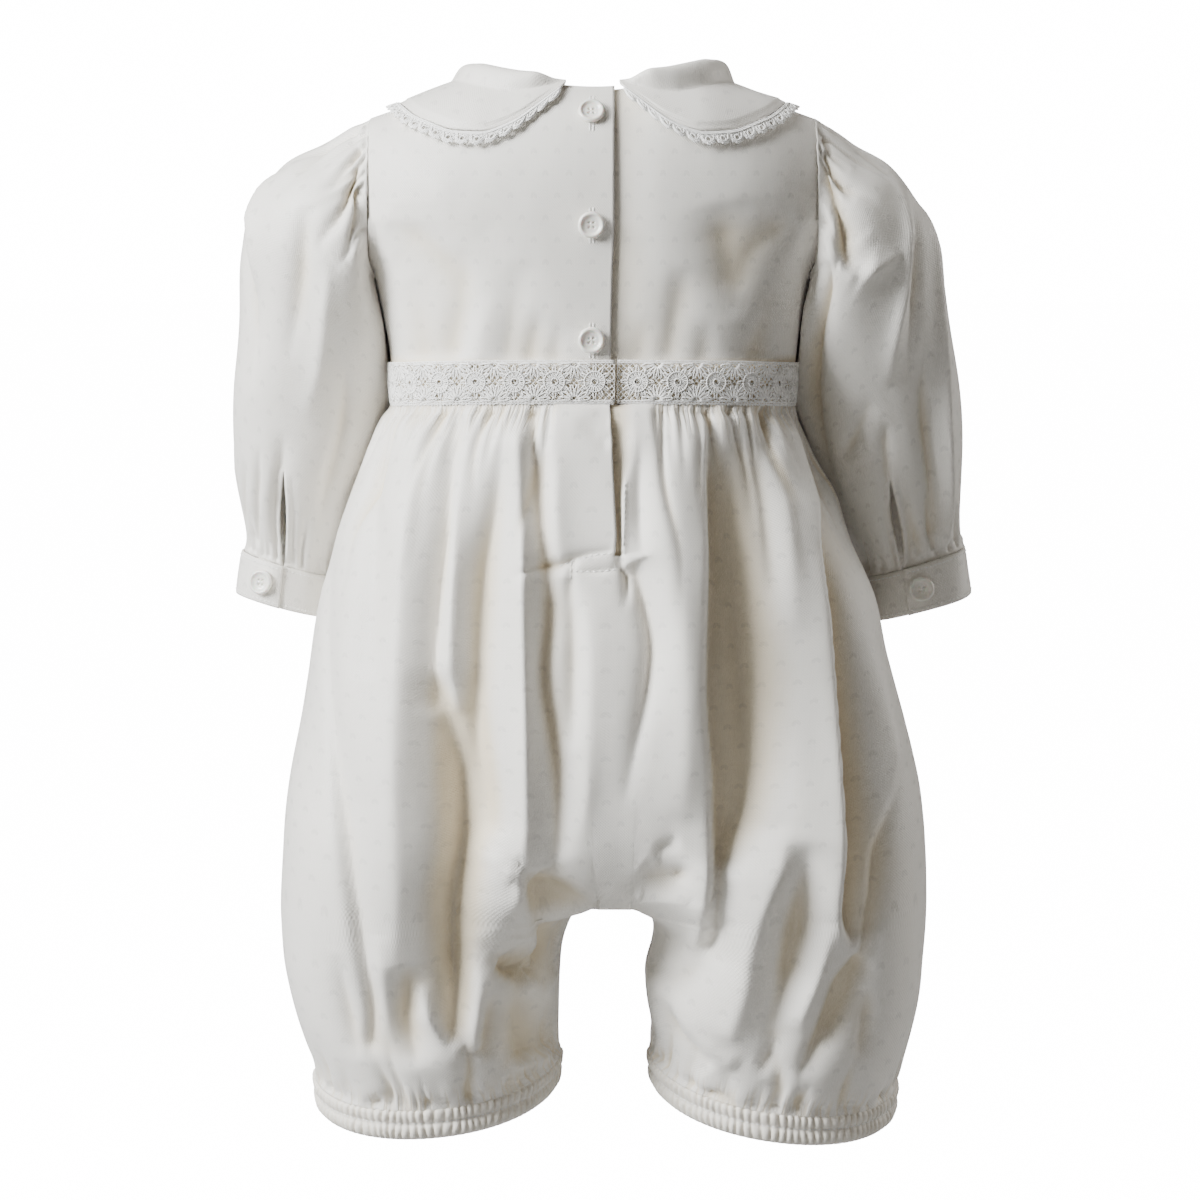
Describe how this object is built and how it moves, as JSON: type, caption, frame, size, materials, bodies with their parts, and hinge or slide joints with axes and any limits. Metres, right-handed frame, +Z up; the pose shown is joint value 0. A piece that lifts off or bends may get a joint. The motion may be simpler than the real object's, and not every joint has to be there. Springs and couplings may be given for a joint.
{
  "type": "baby romper",
  "caption": "Long-sleeved ivory baby romper, shown from the back: lace-edged collar, buttoned back opening, lace waist, full gathered seat and bubble legs with elastic hems.",
  "frame": {"origin": "centre of the neck opening, at the height where the shoulder seams meet the neck", "axes": "+Z up along the garment, from the hems to the neck; -Y towards the buttoned side, which is the wearer's back and the side the picture shows; +X towards the wearer's right"},
  "size_m": [0.3246, 0.1699, 0.4548],
  "materials": {
    "cotton": "soft satin sheen, small self-coloured figure in the weave",
    "lace": "matte cotton lace",
    "button": "pearly gloss"
  },
  "bodies": {
    "root": {"back_bodice_left": "cotton", "back_bodice_right": "cotton", "front_bodice": "cotton", "skirt_back": "cotton", "skirt_front": "cotton", "slit_underlap": "cotton", "left_leg_hem": "cotton", "right_leg_hem": "cotton", "left_sleeve": "cotton", "right_sleeve": "cotton", "left_cuff": "cotton", "right_cuff": "cotton", "collar_left": "cotton", "collar_right": "cotton", "collar_lace_left": "lace", "collar_lace_right": "lace", "waist_lace": "lace", "back_button_1": "button", "back_button_2": "button", "back_button_3": "button", "left_cuff_button": "button", "right_cuff_button": "button"}
  },
  "joints": []
}
